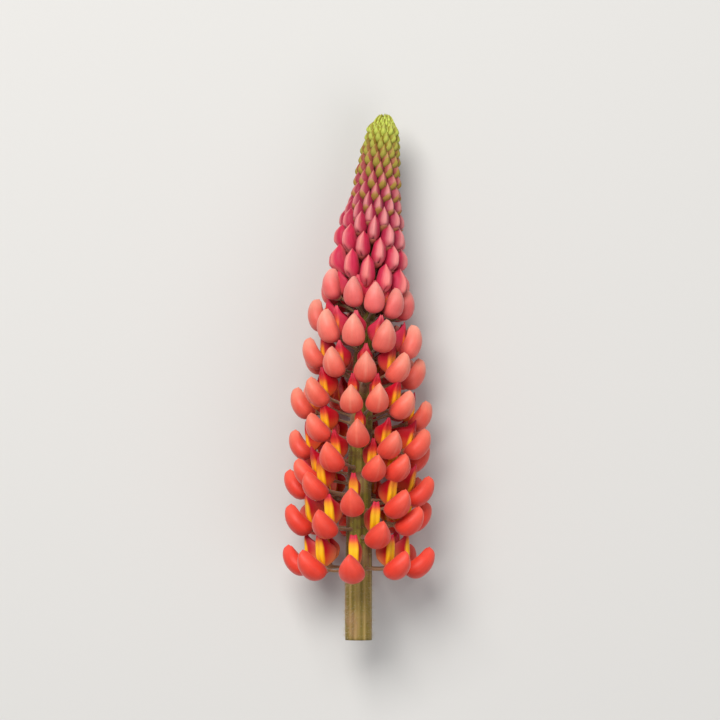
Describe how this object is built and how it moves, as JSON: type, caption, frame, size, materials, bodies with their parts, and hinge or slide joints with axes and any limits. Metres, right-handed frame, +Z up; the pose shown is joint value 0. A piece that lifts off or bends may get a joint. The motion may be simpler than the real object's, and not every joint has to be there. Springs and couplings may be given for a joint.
{
  "type": "lupin flower spike",
  "caption": "Cut lupin flower spike lying on a surface: a stem with rings of open pouch-shaped flowers, then closed buds packed to a green tip.",
  "frame": {"origin": "on the surface that the spike lies on, under the middle of its bounding box", "axes": "+Y along the stem from the cut end to the tip, +Z up from the surface, X across the spike"},
  "size_m": [0.0686, 0.237, 0.0655],
  "materials": {
    "stem": "ribbed, softly hairy olive green stem with pinkish brown patches",
    "open_petals": "satin coral petals, crimson and yellow-orange banner",
    "young_petals": "satin salmon petals with paler tips, pink-crimson banner",
    "buds": "satin buds, salmon and rose at the bottom, olive and lime green at the tip"
  },
  "bodies": {
    "root": {"stem": "stem", "flower_1_1": "open_petals", "flower_1_2": "open_petals", "flower_1_3": "open_petals", "flower_1_4": "open_petals", "flower_1_5": "open_petals", "flower_1_6": "open_petals", "flower_1_7": "open_petals", "flower_1_8": "open_petals", "flower_2_1": "open_petals", "flower_2_2": "open_petals", "flower_2_3": "open_petals", "flower_2_4": "open_petals", "flower_2_5": "open_petals", "flower_2_6": "open_petals", "flower_2_7": "open_petals", "flower_2_8": "open_petals", "flower_3_1": "open_petals", "flower_3_2": "open_petals", "flower_3_3": "open_petals", "flower_3_4": "open_petals", "flower_3_5": "open_petals", "flower_3_6": "open_petals", "flower_3_7": "open_petals", "flower_3_8": "open_petals", "flower_4_1": "open_petals", "flower_4_2": "open_petals", "flower_4_3": "open_petals", "flower_4_4": "open_petals", "flower_4_5": "open_petals", "flower_4_6": "open_petals", "flower_4_7": "open_petals", "flower_4_8": "open_petals", "flower_5_1": "open_petals", "flower_5_2": "open_petals", "flower_5_3": "open_petals", "flower_5_4": "open_petals", "flower_5_5": "open_petals", "flower_5_6": "open_petals", "flower_5_7": "open_petals", "flower_5_8": "open_petals", "flower_6_1": "open_petals", "flower_6_2": "open_petals", "flower_6_3": "open_petals", "flower_6_4": "open_petals", "flower_6_5": "open_petals", "flower_6_6": "open_petals", "flower_6_7": "open_petals", "flower_6_8": "open_petals", "flower_6_9": "open_petals", "flower_6_10": "open_petals", "whorl_7": "young_petals", "whorl_8": "young_petals", "whorl_9": "young_petals", "buds": "buds"}
  },
  "joints": []
}
